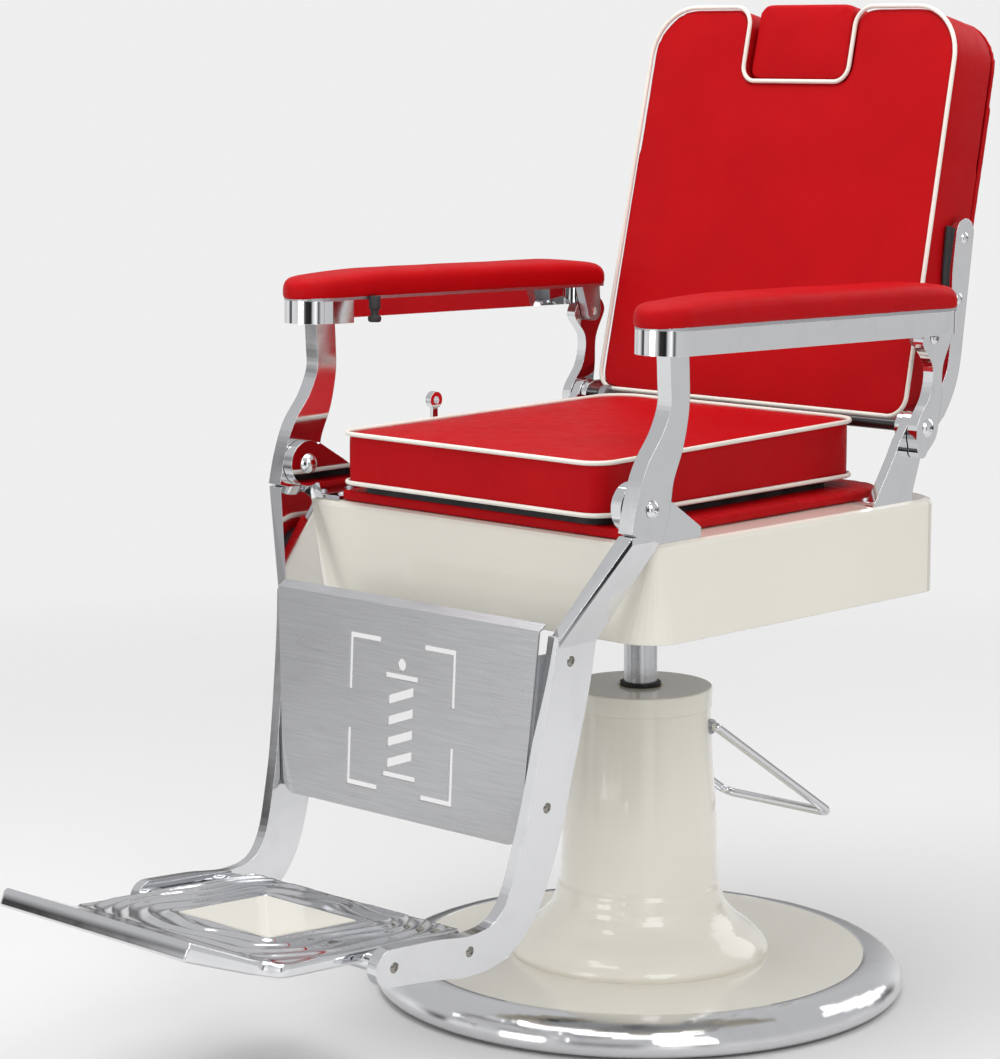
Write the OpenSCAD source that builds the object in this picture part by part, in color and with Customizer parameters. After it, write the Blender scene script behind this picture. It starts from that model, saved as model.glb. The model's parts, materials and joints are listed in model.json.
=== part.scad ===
// Hydraulic barber chair. Origin on the floor under the column, +Z up, the sitter faces -Y.
// Lengths are in millimetres; the seat is drawn 80 mm above its lowest height.

/* [Base] */
// Outside diameter of the chromed rim of the base
base_d = 640; // [600:5:680]
// Height of the base's top face above the floor
base_h = 42; // [38:1:46]
// Width of the chromed rim, measured along a radius
rim_w = 48; // [40:1:56]
// Height of the column's cap above the floor
cap_z = 368; // [366:1:370]
// Diameter of the column's cap
cap_d = 173; // [168:1:178]
// Diameter of the lifting ram
ram_d = 40; // [36:0.5:42]

/* [Seat] */
// Width of the seat box
box_w = 544; // [540:1:550]
// Length of the seat box from front to back
box_l = 529; // [525:1:535]
// Height of the seat box
box_h = 111; // [100:1:115]
// Height of the seat box's top face above the floor
box_top = 599.5; // [599:0.5:600]
// Width of the cushion
cushion_w = 408; // [390:1:412]
// Length of the cushion
cushion_l = 476; // [450:1:478]
// Thickness of the cushion
cushion_t = 62; // [50:1:66]

/* [Backrest] */
// Width of the backrest at its foot
back_w = 484; // [470:1:484]
// Width of the backrest at its head
back_top_w = 474; // [460:1:480]
// Length of the backrest from foot to head
back_l = 490; // [480:1:500]
// Thickness of the backrest
back_t = 96; // [90:1:98]
// Lean of the backrest from upright, in degrees
back_lean = 12.6; // [11.5:0.1:13.5]
// Width of the headrest pad
head_w = 156; // [140:1:157]
// Height of the headrest pad
head_h = 97; // [90:1:100]

/* [Arms] */
// Distance of each armrest's middle from the centre line
arm_x = 275; // [274:0.5:276]
// Width of an armrest
arm_w = 72; // [68:1:72]
// Length of an armrest
arm_l = 522; // [515:1:524]
// Thickness of an armrest's pad
pad_t = 31; // [26:1:34]

/* [Leg rest] */
// Width of the footrest plate
footrest_w = 330; // [310:1:334]
// Length of the footrest plate's front flap
flap_l = 110; // [100:1:118]
// Thickness of the footrest casting
footrest_t = 15; // [13:1:16]
// Thickness of the kick panel's sheet
sheet_t = 2.5; // [2:0.5:3]

/* [Hidden] */
$fn = 64;

// Radial gap of a shaft that turns or slides in its bore
fit = 0.05;
cream = [0.9, 0.88, 0.8];
red = [0.72, 0.06, 0.08];
chrome = [0.82, 0.83, 0.85];
steel = [0.6, 0.61, 0.63];
dark = [0.1, 0.1, 0.11];
bronze = [0.7, 0.52, 0.28];

// Pivots as [y, z]
leg_pivot = [-308, 643];
back_pivot = [186, 686];
arm_pivot = [195, 791];
pedal_pivot = [43, 321];
lever_pivot = [-105, 572];

// Layers across each side, as distances from the centre line
bar_x = [244.5, 253];
rear_bracket_x = [254, 266];
rear_arm_x = [267, 281];
front_bracket_x = [250, 264];
post_x = [265, 285];
leg_t = 14;

// Base and column
pad_z = 3.5;
disc_r = base_d / 2 - rim_w;
disc_t = 8;
cap_t = 24;
cover_top = cap_z - cap_t;
cover_wall = 5;
ram_r = ram_d / 2;
cylinder_r = 31;
ram_z = [105, 560];
rod_r = 5.5;
pedal_l = 266;
pedal_x = 85;
pedal_drop = 33;
plunger_y = 62;
// Outer profile of the column cover below its cap, as [radius, z]
cover_profile = [[84, cover_top], [88, 276], [92.5, 216], [95, 150], [96, 131], [99, 124],
    [105, 102], [120, 84], [138, 70], [151, 58], [157, 49], [156, base_h]];

// Seat
box_y = [-289, -289 + box_l];
box_wall = 5;
box_floor = box_top - box_h;
board_z = box_top;
board_t = 13;
cushion_z = board_z + board_t + 10.3;
cushion_y = -304;
plate_t = 8;
recline_x = -211.5;
recline_z = 570;
crank_x = [-227, -217];
crank_l = 125;
crank_lean = 14;
lever_x = [-247.5, -242.5];

// Arms, in the frame of the rear arm pivot
arm_slope = 1;
arm_front = -arm_l + 15 + arm_w / 2;
band_z = [6, 33];
band_t = 5;
band_r = arm_w / 2 - 2;
base_t = 4;
front_pin = [-461, 13];

// Leg rest
panel_foot = [-408, 277];
panel_lean = 2.9;
panel_h = 237;
panel_half = [190, 207];
leg_lean = 4.3;
inset_w = 144;
inset_y = [-667, -543];

// Circle arc as points, from angle a to angle b
function arc(c, r, a, b, n = 8) =
    [for (i = [0:n]) c + r * [cos(a + (b - a) * i / n), sin(a + (b - a) * i / n)]];

// Outline that narrows from half width a at y0 to b at y1, its corners rounded by r0 and r1
function tapered_outline(a, b, y0, y1, r0, r1) = concat(
    arc([a - r0, y0 + r0], r0, -90, 0), arc([b - r1, y1 - r1], r1, 0, 90),
    arc([-b + r1, y1 - r1], r1, 90, 180), arc([-a + r0, y0 + r0], r0, 180, 270));

// Smooth curve through the points of p, at place u from 0 to len(p) - 1
function on_curve(p, u) =
    let (last = len(p) - 1, i = min(floor(u), last - 1), t = u - i,
        a = p[max(i - 1, 0)], b = p[i], c = p[i + 1], d = p[min(i + 2, last)])
    0.5 * (2 * b + (c - a) * t + (2 * a - 5 * b + 4 * c - d) * t * t
        + (3 * b - a - 3 * c + d) * t * t * t);
function curve(p, steps) =
    [for (i = [0:steps]) on_curve(p, i * (len(p) - 1) / steps)];

// Outline of a bar whose middle runs through stations [y, z, half width]
function normal_at(p, u) =
    let (last = len(p) - 1, d = on_curve(p, min(u + 0.02, last)) - on_curve(p, max(u - 0.02, 0)))
    [-d[1], d[0]] / norm([d[0], d[1]]);
function bar_side(p, steps, side) =
    [for (i = [0:steps]) let (u = i * (len(p) - 1) / steps, s = on_curve(p, u))
        [s[0], s[1]] + side * s[2] * normal_at(p, u)];
function reversed(p) = [for (i = [len(p) - 1:-1:0]) p[i]];
function bar_end(p, u, side) =
    let (c = on_curve(p, u), n = side * c[2] * normal_at(p, u), t = [n[1], -n[0]])
    [for (a = [15:15:165]) [c[0], c[1]] + cos(a) * n + sin(a) * t];
// Its ends are cut square (0) or rounded (1)
function bar_outline(p, steps, ends = [0, 0]) = concat(
    bar_side(p, steps, 1), ends[1] > 0 ? bar_end(p, len(p) - 1, 1) : [],
    reversed(bar_side(p, steps, -1)), ends[0] > 0 ? bar_end(p, 0, -1) : []);

// Extrudes a [y, z] outline from x0 to x1
module along_x(x0, x1) {
    translate([x0, 0, 0]) rotate([90, 0, 90]) linear_extrude(x1 - x0) children();
}

// Cylinder along X through the point [y, z]
module pin_x(at, r, x0, x1) {
    translate([x0, at[0], at[1]]) rotate([0, 90, 0]) cylinder(r = r, h = x1 - x0);
}

// Low dome standing on x = 0, pointing along +X
module dome(r, h) {
    big = (r * r + h * h) / (2 * h);
    rotate([0, 90, 0]) intersection() {
        cylinder(r = r, h = h);
        translate([0, 0, h - big]) sphere(big);
    }
}

// Screw head with a hexagon socket, standing on the face at x and pointing outwards
module screw_head(x, at, r, h) {
    translate([x, at[0], at[1]]) difference() {
        dome(r, h);
        translate([h * 0.45, 0, 0]) rotate([0, 90, 0]) cylinder(r = r * 0.4, h = h, $fn = 6);
    }
}

// Draws its children on the chosen side: 1 for the sitter's left (+X), -1 for the right
module on_side(side) {
    if (side > 0) children();
    else mirror([1, 0, 0]) children();
}

module both_sides() {
    children();
    mirror([1, 0, 0]) children();
}

module in_back_frame() {
    translate([0, back_pivot[0], back_pivot[1]]) rotate([-back_lean, 0, 0]) children();
}

module in_arm_frame() {
    translate([0, arm_pivot[0], arm_pivot[1]]) rotate([-arm_slope, 0, 0]) children();
}

// Frame of one leg: its inner face at x = 0, turned outwards about the panel's foot
module in_leg_frame() {
    translate([panel_half[0], 0, panel_foot[1]]) rotate([0, leg_lean, 0])
        translate([0, 0, -panel_foot[1]]) children();
}

module in_panel_frame() {
    translate([0, panel_foot[0], panel_foot[1]]) rotate([-panel_lean, 0, 0]) children();
}

// ---- Base and column ----

module floor_pad() {
    color(dark) cylinder(r = base_d / 2 - 20, h = pad_z, $fn = 128);
}

module base_disc() {
    color(cream) difference() {
        translate([0, 0, pad_z]) cylinder(r = disc_r, h = base_h - pad_z, $fn = 128);
        translate([0, 0, pad_z - 1]) cylinder(r = disc_r - 9, h = base_h - disc_t - pad_z + 1);
        translate([0, 0, base_h - disc_t - 1]) cylinder(r = cylinder_r + 1, h = disc_t + 2);
    }
}

module trim_ring() {
    toe = 10;
    bulge_z = 16;
    color(chrome) rotate_extrude($fn = 128) polygon(concat(
        [for (a = [0:7.5:90])
            [disc_r + 0.2 + (rim_w - 0.2) * cos(a), bulge_z + (base_h - bulge_z) * sin(a)]],
        [[disc_r + 0.2, pad_z]],
        arc([base_d / 2 - toe, pad_z + toe], toe, 270, 360)));
}

module column_cover() {
    profile = curve(cover_profile, 44);
    inner = [for (p = profile) p - [cover_wall, 0]];
    color(cream) difference() {
        rotate_extrude($fn = 96) polygon(concat(profile, reversed(inner)));
        pin_x(pedal_pivot, 9, -100, 100);
    }
}

module column_cap() {
    edge = 2;
    color(cream) difference() {
        union() {
            translate([0, 0, cover_top]) rotate_extrude($fn = 96) polygon(concat(
                [[0, 0], [cap_d / 2, 0]],
                arc([cap_d / 2 - edge, cap_t - edge], edge, 0, 90, 4), [[0, cap_t]]));
            translate([0, 0, cover_top - 4]) cylinder(r = 78, h = 4.5);
        }
        translate([0, 0, cover_top - 10]) cylinder(r = 27, h = cap_t + 20);
    }
}

module guide_bush() {
    color(bronze) difference() {
        translate([0, 0, cover_top - 4]) cylinder(r = 27, h = cap_t + 4);
        translate([0, 0, cover_top - 5]) cylinder(r = ram_r + fit, h = cap_t + 6);
    }
}

module wiper_seal() {
    color(dark) translate([0, 0, cap_z]) difference() {
        cylinder(r = ram_r + 4.6, h = 4.5);
        translate([0, 0, -1]) cylinder(r = ram_r + 0.3, h = 7);
    }
}

module pump_cylinder() {
    color(steel) difference() {
        union() {
            translate([0, 0, 8]) cylinder(r = cylinder_r, h = 330);
            translate([0, 0, base_h - disc_t - 8]) cylinder(r = 75, h = 8);
        }
        translate([0, 0, 20]) cylinder(r = 24, h = 330);
    }
}

module pump_block() {
    color(steel) difference() {
        translate([-18, 24, 205]) cube([36, 52, 80]);
        cylinder(r = cylinder_r, h = 300);
        translate([0, plunger_y, 212]) cylinder(r = 6 + fit, h = 80);
    }
}

module pedal_bushes() {
    color(bronze) both_sides() difference() {
        pin_x(pedal_pivot, 9, 66, 77);
        pin_x(pedal_pivot, rod_r + fit, 60, 80);
    }
}

module pump_pedal() {
    bend = 16;
    color(chrome) translate([0, pedal_pivot[0], pedal_pivot[1]]) rotate([-pedal_drop, 0, 0]) {
        both_sides() {
            rotate([0, 90, 0]) cylinder(r = rod_r, h = pedal_x);
            translate([pedal_x, 0, 0]) sphere(rod_r);
            translate([pedal_x, 0, 0]) rotate([-90, 0, 0])
                cylinder(r = rod_r, h = pedal_l - bend);
            translate([pedal_x - bend, pedal_l - bend, 0]) rotate_extrude(angle = 90)
                translate([bend, 0]) circle(rod_r);
        }
        translate([bend - pedal_x, pedal_l, 0]) rotate([0, 90, 0])
            cylinder(r = rod_r, h = 2 * (pedal_x - bend));
    }
}

module pump_cam() {
    color(steel) difference() {
        union() {
            pin_x(pedal_pivot, 10, -13, 13);
            pin_x([plunger_y, pedal_pivot[1]], 4, -6, 6);
            translate([-6, pedal_pivot[0], pedal_pivot[1] - 4])
                cube([12, plunger_y - pedal_pivot[0], 8]);
        }
        pin_x(pedal_pivot, rod_r, -20, 20);
    }
}

module pump_plunger() {
    top = pedal_pivot[1] - 4.5;
    color(steel) translate([0, plunger_y, 225]) cylinder(r = 6, h = top - 225);
}

// ---- Ram and swivel ----

module ram() {
    color(steel) {
        translate([0, 0, ram_z[0]]) cylinder(r = ram_r, h = ram_z[1] - ram_z[0]);
        translate([0, 0, ram_z[0]]) cylinder(r = 24 - fit, h = 20);
    }
}

module thrust_bearing() {
    color(bronze) translate([0, 0, ram_z[1]]) cylinder(r = ram_r - 0.5, h = 4);
}

module swivel_socket() {
    plate_low = box_top - box_wall - plate_t;
    color(steel) difference() {
        union() {
            translate([0, 0, box_floor + 1]) cylinder(r = 34, h = plate_low - box_floor - 1);
            translate([0, 0, plate_low - 9]) cylinder(r = 70, h = 9);
        }
        translate([0, 0, box_floor - 10]) cylinder(r = ram_r + fit, h = ram_z[1] - box_floor + 14.3);
    }
}

module mount_plate() {
    color(steel) translate([-190, -230, box_top - box_wall - plate_t]) cube([380, 420, plate_t]);
}

// ---- Seat ----

// One level of the seat box: the front corners open out from top to bottom
module box_level(z, inset, front_r) {
    rear_r = 45;
    half = box_w / 2 - inset;
    translate([0, 0, z]) linear_extrude(0.01) polygon(
        tapered_outline(half, half, box_y[0] + inset, box_y[1] - inset, front_r, rear_r));
}

module seat_box() {
    roof = box_top - box_wall;
    color(cream) difference() {
        hull() {
            box_level(box_floor, 0, 44);
            box_level(box_top - 7, 0, 6);
            box_level(box_top - 2.5, 1.6, 6);
            box_level(box_top - 0.01, 6, 6);
        }
        hull() {
            box_level(box_floor - 1, box_wall, 40);
            box_level(roof, box_wall, 4);
        }
        // Slots for the release lever and for the recline crank
        translate([lever_x[0] - 2.5, lever_pivot[0] - 19, roof - 1]) cube([10, 38, 10]);
        translate([crank_x[0] - 2, 118, roof - 1]) cube([14, 108, 10]);
    }
}

module seat_board() {
    color(red) difference() {
        translate([0, 0, board_z]) linear_extrude(board_t)
            polygon(tapered_outline(232, 226, -284, 200, 24, 60));
        translate([-240, 104, board_z - 1]) cube([26, 110, board_t + 2]);
        // Room for the foot of each front bracket
        both_sides() translate([221, -290, board_z - 1]) cube([20, 78, board_t + 2]);
    }
}

module cushion_base() {
    color(dark) translate([0, 0, board_z + board_t]) linear_extrude(10)
        polygon(tapered_outline(188, 180, -284, 140, 20, 30));
}

module seat_cushion() {
    half = cushion_w / 2;
    color(red) translate([0, 0, cushion_z]) linear_extrude(cushion_t)
        polygon(tapered_outline(half, half - 8, cushion_y, cushion_y + cushion_l, 28, 40));
}

module front_bracket(side) {
    color(chrome) on_side(side) difference() {
        union() {
            along_x(front_bracket_x[0], front_bracket_x[1]) {
                translate(leg_pivot) circle(27);
                // Its front edge leaves room for the side frame's neck
                polygon([[-286, box_top], [-203, box_top], [-203, 611], [-253, 644],
                    [-290, 666], [-330, 627], [-292, 618]]);
            }
            translate([222, -286, box_top]) cube([42, 74, 5]);
        }
        pin_x(leg_pivot, 8, 240, 270);
        for (y = [-270, -228]) translate([234, y, box_top - 1]) cylinder(r = 3, h = 8);
    }
}
module front_bracket_left() { front_bracket(1); }
module front_bracket_right() { front_bracket(-1); }

module rear_bracket(side) {
    color(chrome) on_side(side) difference() {
        union() {
            along_x(rear_bracket_x[0], rear_bracket_x[1]) {
                translate(back_pivot) circle(19);
                polygon([[103, box_top], [179, box_top], [179, 612], [203, 678], [170, 694],
                    [152, 672], [140, 652]]);
            }
            translate([236, 104, box_top]) cube([30, 74, 5]);
        }
        pin_x(back_pivot, 7 + fit, 250, 270);
        for (y = [118, 164]) translate([244, y, box_top - 1]) cylinder(r = 3, h = 8);
    }
}
module rear_bracket_left() { rear_bracket(1); }
module rear_bracket_right() { rear_bracket(-1); }

// Screws that hold the brackets' feet to the seat box
module bracket_screws() {
    color(steel) both_sides()
        for (at = [[234, -270], [234, -228], [244, 118], [244, 164]])
            translate([at[0], at[1], box_top]) {
                cylinder(r = 3, h = 5);
                translate([0, 0, 5]) rotate([0, -90, 0]) screw_head(0, [0, 0], 5.5, 3);
            }
}

module front_pivot_bolts() {
    color(chrome) both_sides() {
        pin_x(leg_pivot, 8, front_bracket_x[0], post_x[1] + 0.5);
        screw_head(post_x[1] + 0.5, leg_pivot, 10, 6);
        translate([front_bracket_x[0], 0, 0]) mirror([1, 0, 0])
            translate([0, leg_pivot[0], leg_pivot[1]]) dome(12, 9);
    }
}

module recline_cylinder() {
    color(dark) difference() {
        translate([recline_x, -125, recline_z]) rotate([-90, 0, 0]) cylinder(r = 15, h = 190);
        translate([recline_x, -118, recline_z]) rotate([-90, 0, 0]) cylinder(r = 10, h = 175);
        translate([recline_x, 0, recline_z]) rotate([-90, 0, 0]) cylinder(r = 6 + fit, h = 80);
    }
}

module cylinder_clamps() {
    color(steel) difference() {
        for (y = [-111, 40]) translate([-232, y, 552]) cube([40, 12, box_top - box_wall - 552]);
        translate([recline_x, -130, recline_z]) rotate([-90, 0, 0]) cylinder(r = 15, h = 200);
    }
}

module lever_pin() {
    color(steel) {
        pin_x(lever_pivot, 4, -box_w / 2 + box_wall, lever_x[1] + 4);
        pin_x(lever_pivot, 7, -box_w / 2 + box_wall, lever_x[0] - 1);
        pin_x(lever_pivot, 7, lever_x[1] + 1, lever_x[1] + 4);
    }
}

module recline_rod() {
    pin_y = back_pivot[0] + crank_l * sin(crank_lean);
    color(steel) difference() {
        union() {
            translate([recline_x, -20, recline_z]) rotate([-90, 0, 0])
                cylinder(r = 6, h = pin_y - 12 + 20);
            translate([recline_x, -20, recline_z]) rotate([-90, 0, 0])
                cylinder(r = 10 - fit, h = 12);
            translate([recline_x - 5, pin_y - 14, 549]) cube([10, 28, 42]);
        }
        along_x(recline_x - 6, recline_x + 6) {
            translate([pin_y, 562]) circle(6.8);
            translate([pin_y, 578]) circle(6.8);
            translate([pin_y - 6.8, 562]) square([13.6, 16]);
        }
    }
}

module recline_lever() {
    grip = [lever_pivot[0], 702];
    color(chrome) difference() {
        union() {
            along_x(lever_x[0], lever_x[1]) {
                translate(lever_pivot) circle(9);
                polygon(bar_outline([[lever_pivot[0], lever_pivot[1], 6],
                    [lever_pivot[0], 640, 5], [grip[0], grip[1] - 8, 4]], 12));
            }
            pin_x(grip, 10, lever_x[0] - 2, lever_x[1] + 2);
        }
        pin_x(lever_pivot, 4 + fit, -260, -230);
        pin_x(grip, 4.5, -260, -230);
    }
}

// ---- Backrest ----

module recline_shaft() {
    color(steel) pin_x(back_pivot, 7, -rear_arm_x[1], rear_arm_x[1]);
}

module recline_crank() {
    pin_at = back_pivot + crank_l * [sin(crank_lean), -cos(crank_lean)];
    color(steel) difference() {
        union() {
            along_x(crank_x[0], crank_x[1]) {
                translate(back_pivot) circle(13);
                translate(pin_at) circle(9);
                polygon(bar_outline([[back_pivot[0], back_pivot[1], 10],
                    [pin_at[0], pin_at[1], 8]], 1));
            }
            pin_x(pin_at, 5, crank_x[0], recline_x + 8);
        }
        pin_x(back_pivot, 7, -240, -200);
    }
}

module rear_arm(side) {
    color(chrome) on_side(side) difference() {
        along_x(rear_arm_x[0], rear_arm_x[1])
            polygon(bar_outline([[199, 803, 22], [201, 787, 28], [203, 757, 10], [199, 719, 12],
                [184, 683, 20], [176, 660, 9]], 30, [0, 1]));
        pin_x(back_pivot, 7, 260, 290);
        pin_x(arm_pivot, 5 + fit, 260, 290);
    }
}
module rear_arm_left() { rear_arm(1); }
module rear_arm_right() { rear_arm(-1); }

module back_bar(side) {
    color(chrome) on_side(side) difference() {
        along_x(bar_x[0], bar_x[1])
            polygon(bar_outline([[291, 908, 17], [284, 857, 17], [280, 800, 13], [271, 742, 12],
                [246, 704, 15], [215, 687, 17], [186, 686, 17]], 42, [1, 1]));
        pin_x(back_pivot, 7, 240, 260);
    }
}
module back_bar_left() { back_bar(1); }
module back_bar_right() { back_bar(-1); }

// Screws of the back bars, and the domed end caps of the recline shaft
module back_bar_screws() {
    color(chrome) both_sides() {
        for (at = [[290, 902], [281, 830]]) screw_head(bar_x[1], at, 7, 3.5);
        screw_head(rear_arm_x[1], back_pivot, 11, 6);
    }
}

module back_spacers() {
    color(dark) both_sides() along_x(back_w / 2, bar_x[0])
        polygon(bar_outline([[286, 915, 19], [280, 860, 19], [276, 805, 15]], 12));
}

module back_pad() {
    foot = 12;
    sleeve = [26.2, 18.4];
    color(red) in_back_frame() difference() {
        translate([0, back_t - 10, 0]) rotate([90, 0, 0]) linear_extrude(back_t - 11)
            polygon(tapered_outline(back_w / 2, back_top_w / 2, foot, foot + back_l, 25, 65));
        // Notch for the headrest, and the well of its sleeve
        translate([-82, 0, foot + back_l - 95]) cube([164, 62, 120]);
        translate([-sleeve[0], 25.8, 240]) cube([2 * sleeve[0], sleeve[1], 300]);
    }
}

module back_panel() {
    color(red) in_back_frame() translate([0, back_t, 0]) rotate([90, 0, 0]) linear_extrude(10)
        polygon(tapered_outline(back_w / 2 - 4, back_top_w / 2 - 4, 16, 12 + back_l - 4, 22, 62));
}

module headrest_sleeve() {
    color(steel) in_back_frame() difference() {
        translate([-26.2, 25.8, 240]) cube([52.4, 18.4, 166]);
        translate([-20.1, 31.9, 239]) cube([40.2, 6.2, 170]);
    }
}

module headrest_pad() {
    low = 12 + back_l - 91;
    color(red) in_back_frame() difference() {
        translate([0, 57, 0]) rotate([90, 0, 0]) linear_extrude(52)
            polygon(tapered_outline(head_w / 2, head_w / 2 - 2, low, low + head_h, 16, 12));
        translate([-20, 32, 0]) cube([40, 6, low + 70]);
    }
}

module headrest_stem() {
    color(chrome) in_back_frame() translate([-20, 32, 250]) cube([40, 6, 12 + back_l - 91 + 70 - 250]);
}

// ---- Armrests ----

module arm_band(side) {
    r_out = band_r;
    r_in = band_r - band_t;
    rear_r = 17;
    color(chrome) on_side(side) in_arm_frame() translate([arm_x, 0, band_z[0]])
        linear_extrude(band_z[1] - band_z[0]) {
            // Half-round front
            translate([0, arm_front]) difference() {
                circle(r_out);
                circle(r_in);
                translate([-50, 0]) square([100, 50]);
            }
            // Outer side, short inner return and the curl at the back
            translate([r_in, arm_front]) square([band_t, -arm_front - 4]);
            translate([-r_out, arm_front]) square([band_t, 34]);
            translate([r_out - rear_r, -4]) intersection() {
                difference() {
                    circle(rear_r);
                    circle(rear_r - band_t);
                }
                square(20);
            }
        }
}
module arm_band_left() { arm_band(1); }
module arm_band_right() { arm_band(-1); }

// Plate under the pad, with the lug that hangs on the rear arm
module arm_base(side) {
    lug = [253.5, 266];
    color(steel) on_side(side) in_arm_frame() difference() {
        union() {
            translate([arm_x, 0, band_z[1]]) linear_extrude(base_t)
                polygon([for (p = tapered_outline(band_r, band_r, arm_front - band_r, 8,
                    band_r - 0.5, 8)) p]);
            along_x(lug[0], lug[1]) {
                circle(12);
                polygon([[-12, 0], [12, 0], [9, band_z[1] + 1], [-24, band_z[1] + 1]]);
            }
        }
        pin_x([0, 0], 5, 250, 270);
    }
}
module arm_base_left() { arm_base(1); }
module arm_base_right() { arm_base(-1); }

module arm_pad(side) {
    half = arm_w / 2;
    color(red) on_side(side) in_arm_frame() translate([arm_x, 0, band_z[1] + base_t])
        linear_extrude(pad_t)
            polygon(tapered_outline(half, half, arm_front - half, 15, half - 0.5, 14));
}
module arm_pad_left() { arm_pad(1); }
module arm_pad_right() { arm_pad(-1); }

// Rear pivot screw, and the front pin that the post's top hangs on
module arm_pins(side) {
    color(chrome) on_side(side) in_arm_frame() {
        pin_x([0, 0], 5, 253.5, rear_arm_x[1] + 0.4);
        screw_head(rear_arm_x[1] + 0.4, [0, 0], 8, 4);
        pin_x(front_pin, 5, arm_x - band_r + band_t, arm_x + band_r - band_t);
    }
}
module arm_pins_left() { arm_pins(1); }
module arm_pins_right() { arm_pins(-1); }

// ---- Leg rest ----

// Post, slanting neck and J-shaped leg of one side
module side_frame(side) {
    // The neck's ends lie this far inside the post and the leg
    skin = 0.3;
    post_top = arm_pivot + [front_pin[0] * cos(arm_slope) + front_pin[1] * sin(arm_slope),
        front_pin[1] * cos(arm_slope) - front_pin[0] * sin(arm_slope)];
    color(chrome) on_side(side) difference() {
        union() {
            along_x(post_x[0], post_x[1])
                polygon(bar_outline([[post_top[0], post_top[1], 15], [-264, 780, 15],
                    [-264, 748, 15], [-276, 712, 19], [-296, 678, 24], [-306, 645, 27],
                    [-316, 612, 25]], 36, [1, 0]));
            // Neck that carries the post inwards and forwards to the leg
            hull() {
                translate([post_x[0] + skin, -339, 608]) cube([20 - 2 * skin, 46, 8]);
                in_leg_frame() translate([skin, -384, 496]) cube([leg_t - 2 * skin, 59, 8]);
            }
            in_leg_frame() along_x(0, leg_t)
                polygon(bar_outline([[-355, 505, 31], [-362, 445, 31], [-381, 340, 29],
                    [-394, 281, 29], [-415, 220, 27], [-446, 186, 25], [-492, 177, 23],
                    [-550, 184, 22], [-612, 189, 21]], 48, [0, 1]));
        }
        pin_x(leg_pivot, 8 + fit, 260, 290);
        pin_x(post_top, 8, 260, 290);
    }
}
module side_frame_left() { side_frame(1); }
module side_frame_right() { side_frame(-1); }

// Sheet between the legs, cut out with a plain striped barber's pole inside four corner marks
module kick_panel() {
    lip = 13;
    half = panel_half;
    pole_r = 20;
    corner = [[84, 87], [84, 22], [78, 22], [78, 81], [34, 81], [34, 87]];
    color(chrome) in_panel_frame() {
        rotate([90, 0, 0]) difference() {
            linear_extrude(sheet_t) polygon(concat(
                arc([half[0] - 21, 20], 20, -90, 0), [[half[1] - 1.5, panel_h], [-half[1] + 1.5, panel_h]],
                arc([-half[0] + 21, 20], 20, 180, 270)));
            translate([0, 0, -1]) linear_extrude(sheet_t + 2) {
                // Ball, caps and slanting stripes
                translate([0, 173]) circle(7);
                for (y = [44, 156]) translate([-26, y]) square([52, 6]);
                for (y = [54:24:126])
                    polygon([[-pole_r, y], [pole_r, y + 14], [pole_r, y + 24], [-pole_r, y + 10]]);
                for (x = [-1, 1], y = [-1, 1]) polygon([for (p = corner) [x * p[0], 113 + y * p[1]]]);
            }
        }
        translate([-half[1] + 1.5, -sheet_t, panel_h]) rotate([-55, 0, 0])
            cube([2 * half[1] - 3, sheet_t, lip]);
    }
}

// Channel behind the sheet, screwed to the legs, with a window behind the stripes
module panel_tray() {
    rear = -354;
    low = 7;
    high = 211;
    // Half width between the legs at height h, and the sheet's rear face there, as [y, z]
    function half(h) = panel_half[0] + h * tan(leg_lean) - 1.2;
    function face(h) = panel_foot + [h * tan(panel_lean) + 1, h];
    color(steel) {
        in_panel_frame() rotate([90, 0, 0]) translate([0, 0, -2]) linear_extrude(2) difference() {
            polygon([[half(low), low], [half(high), high], [-half(high), high], [-half(low), low]]);
            translate([-89, 21]) square([178, 184]);
        }
        both_sides() in_leg_frame() along_x(-2.2, -0.2)
            polygon([face(low), face(high), [rear, face(high)[1]], [rear - 6, face(low)[1]]]);
    }
}

// Casting between the toes of the legs: a near-level plate and a raised front flap
module footrest() {
    rear = [-478, 197];
    bend = [-739, 211.5];
    rise = 23;
    tip = bend + flap_l * [-cos(rise), sin(rise)];
    under = [0, -footrest_t];
    half = footrest_w / 2;
    boss = 182;
    color(chrome) difference() {
        union() {
            along_x(-half, half) polygon([rear, bend, bend + under + [3, 0], rear + under]);
            along_x(-half + 16, half - 16) {
                polygon([bend, tip, tip + under + [4, 2], bend + under + [3, 0]]);
                translate(tip + under / 2 + [2, 1]) circle(footrest_t / 2);
            }
            along_x(-boss, boss) for (at = [[-495, 184], [-607, 189]])
                polygon([for (p = tapered_outline(13, 13, -9, 11, 6, 6)) p + at]);
        }
        inset_pocket(0, 6);
        for (at = [[-495, 182], [-607, 189]]) both_sides() pin_x(at, 3, 160, 190);
    }
}

// Block sunk 4 mm into the sloping plate; it ends above the plate's face at top, and
// grow widens it on each side
module inset_pocket(grow, top) {
    slope = atan2(14.5, 261);
    long = inset_y[1] - inset_y[0];
    translate([0, -605, 204.1]) rotate([-slope, 0, 0])
        translate([-inset_w / 2 - grow, -long / 2 - grow, -4])
            cube([inset_w + 2 * grow, long + 2 * grow, 4 + top]);
}

module footrest_inset() {
    color(cream) inset_pocket(-0.2, 0.6);
}

// Screws through the legs into the tray's flanges and the footrest's bosses
module leg_screws() {
    color(steel) both_sides() in_leg_frame()
        for (at = [[-363, 480], [-387, 321], [-495, 182], [-607, 189]])
            screw_head(leg_t, at, 6, 2.5);
}

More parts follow.
